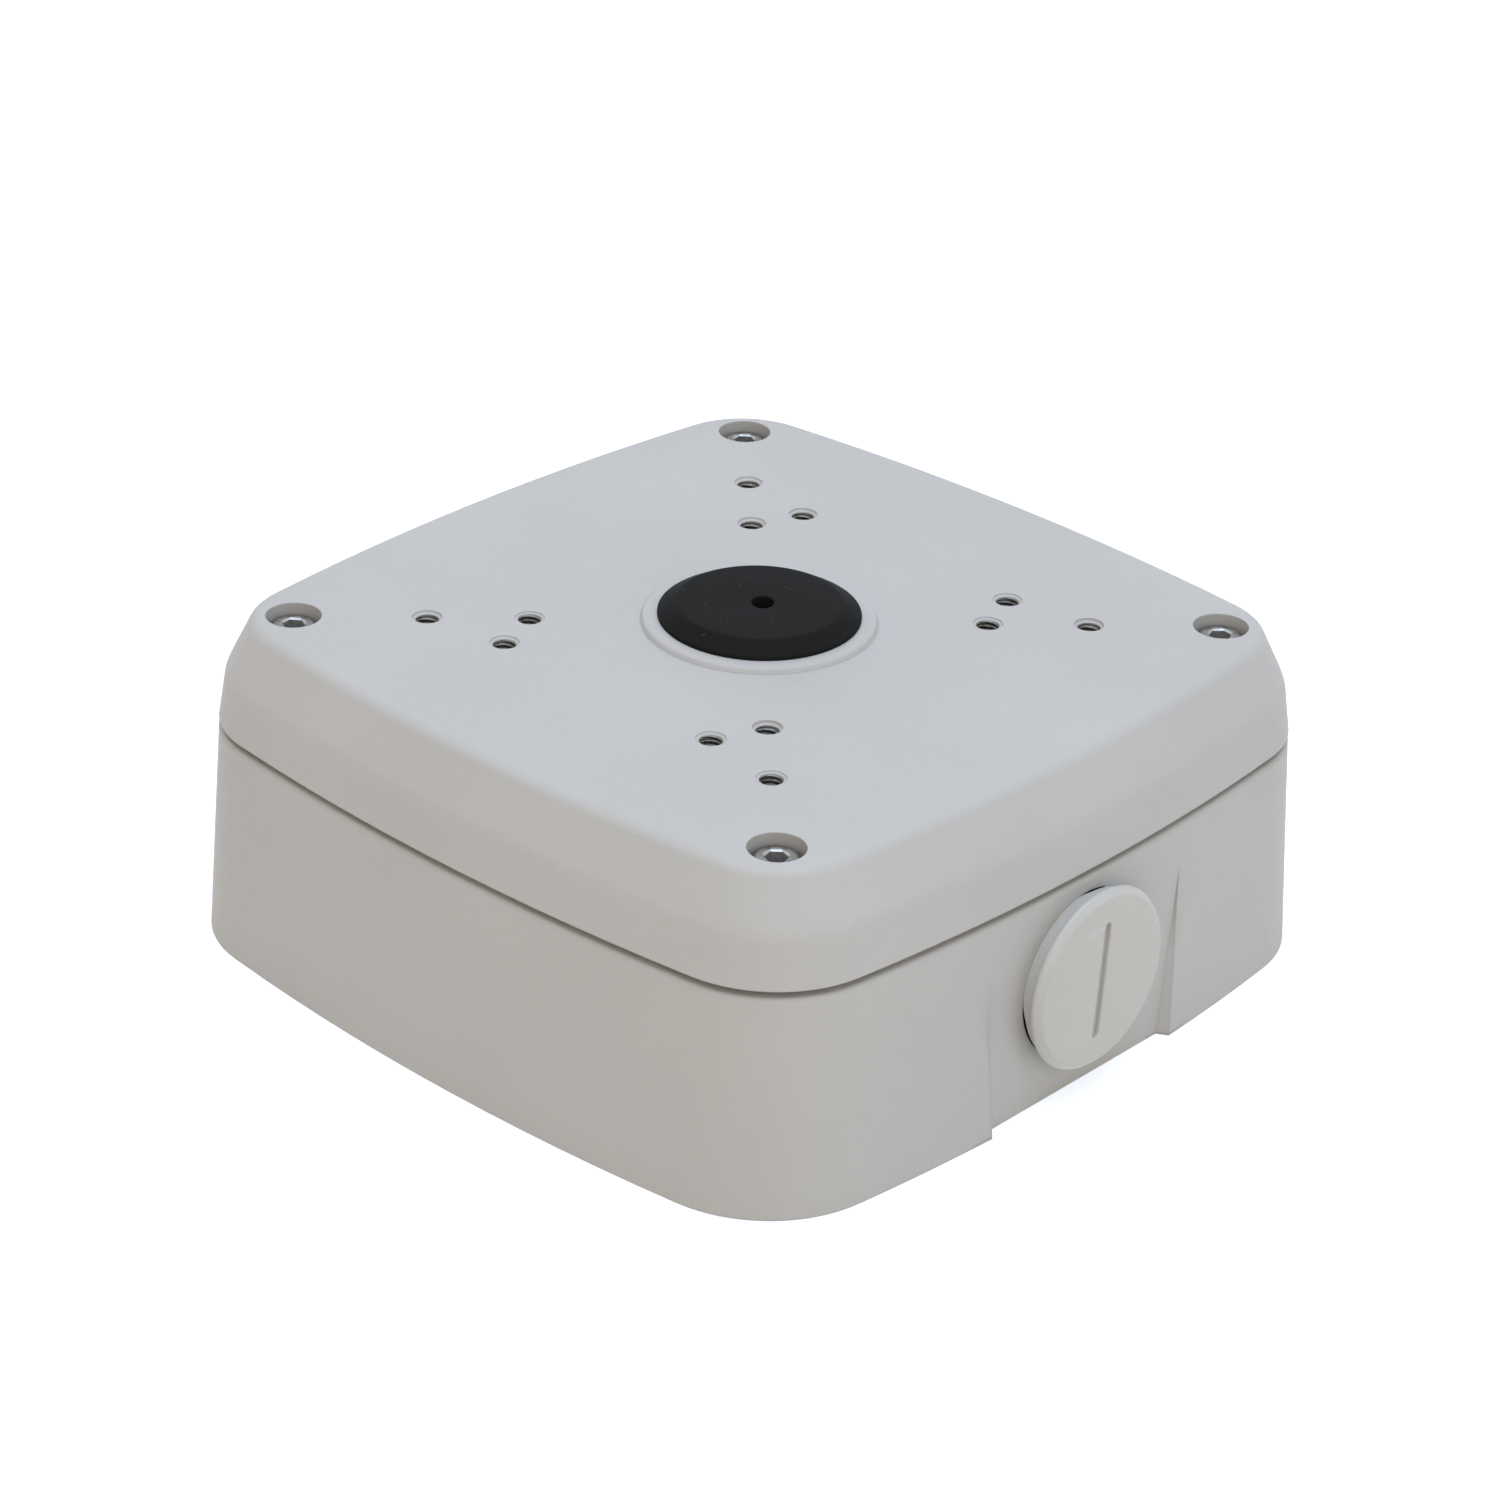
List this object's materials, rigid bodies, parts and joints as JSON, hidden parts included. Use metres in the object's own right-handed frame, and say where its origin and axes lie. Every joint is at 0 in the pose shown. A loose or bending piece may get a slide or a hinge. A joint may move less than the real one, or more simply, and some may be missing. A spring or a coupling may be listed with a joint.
{
  "type": "camera junction box",
  "caption": "Square wall box with bowed sides that carries a security camera on its screwed cover, with a rubber cable grommet in the middle and a plugged side entry.",
  "frame": {"origin": "centre of the rear cable entry in the back face that lies on the wall", "axes": "+Z out of the wall through the cover, -Y through the side entry with the screw plug, +X to the right seen from the side entry"},
  "size_m": [0.134, 0.1361, 0.0548],
  "materials": {
    "casting": "fine-grained pale grey powder coat on a casting",
    "screw_steel": "plain stainless steel, slightly dull",
    "grommet_rubber": "matt black moulded rubber",
    "seal_rubber": "matt black rubber",
    "plug_plastic": "smooth satin pale grey moulded plastic"
  },
  "bodies": {
    "base": {"base_housing": "casting"},
    "cover": {"cover": "casting", "cover_gasket": "seal_rubber", "cable_grommet": "grommet_rubber"},
    "plug_seal": {"side_plug_seal": "seal_rubber"},
    "plug": {"side_plug": "plug_plastic"},
    "screw_washer_1": {"cover_screw_washer_1": "screw_steel"},
    "screw_1": {"cover_screw_1": "screw_steel"},
    "screw_washer_2": {"cover_screw_washer_2": "screw_steel"},
    "screw_2": {"cover_screw_2": "screw_steel"},
    "screw_washer_3": {"cover_screw_washer_3": "screw_steel"},
    "screw_3": {"cover_screw_3": "screw_steel"},
    "screw_washer_4": {"cover_screw_washer_4": "screw_steel"},
    "screw_4": {"cover_screw_4": "screw_steel"}
  },
  "joints": [
    {"name": "cover_lift", "type": "slide", "parent": "base", "child": "cover", "axis": [0, 0, 1], "range_m": [0, 0.04]},
    {"name": "side_plug_travel", "type": "slide", "parent": "base", "child": "plug_seal", "axis": [0, -1, 0], "range_m": [0, 0.01]},
    {"name": "side_plug_turn", "type": "hinge", "parent": "plug_seal", "child": "plug", "pos_m": [0, -0.06475, 0.0188], "axis": [0, -1, 0], "range_deg": [0, 2400]},
    {"name": "cover_screw_1_rise", "type": "slide", "parent": "cover", "child": "screw_washer_1", "axis": [0, 0, 1], "range_m": [0, 0.0098]},
    {"name": "cover_screw_1_turn", "type": "hinge", "parent": "screw_washer_1", "child": "screw_1", "pos_m": [0.04887, 0.04887, 0.04636], "axis": [0, 0, 1], "range_deg": [0, 5040]},
    {"name": "cover_screw_2_rise", "type": "slide", "parent": "cover", "child": "screw_washer_2", "axis": [0, 0, 1], "range_m": [0, 0.0098]},
    {"name": "cover_screw_2_turn", "type": "hinge", "parent": "screw_washer_2", "child": "screw_2", "pos_m": [-0.04887, 0.04887, 0.04636], "axis": [0, 0, 1], "range_deg": [0, 5040]},
    {"name": "cover_screw_3_rise", "type": "slide", "parent": "cover", "child": "screw_washer_3", "axis": [0, 0, 1], "range_m": [0, 0.0098]},
    {"name": "cover_screw_3_turn", "type": "hinge", "parent": "screw_washer_3", "child": "screw_3", "pos_m": [-0.04887, -0.04887, 0.04636], "axis": [0, 0, 1], "range_deg": [0, 5040]},
    {"name": "cover_screw_4_rise", "type": "slide", "parent": "cover", "child": "screw_washer_4", "axis": [0, 0, 1], "range_m": [0, 0.0098]},
    {"name": "cover_screw_4_turn", "type": "hinge", "parent": "screw_washer_4", "child": "screw_4", "pos_m": [0.04887, -0.04887, 0.04636], "axis": [0, 0, 1], "range_deg": [0, 5040]}
  ],
  "couplings": [
    {"joint": "side_plug_turn", "follows": "side_plug_travel", "rad_per_m": 4188.8},
    {"joint": "cover_screw_1_turn", "follows": "cover_screw_1_rise", "rad_per_m": 8976},
    {"joint": "cover_screw_2_turn", "follows": "cover_screw_2_rise", "rad_per_m": 8976},
    {"joint": "cover_screw_3_turn", "follows": "cover_screw_3_rise", "rad_per_m": 8976},
    {"joint": "cover_screw_4_turn", "follows": "cover_screw_4_rise", "rad_per_m": 8976}
  ]
}
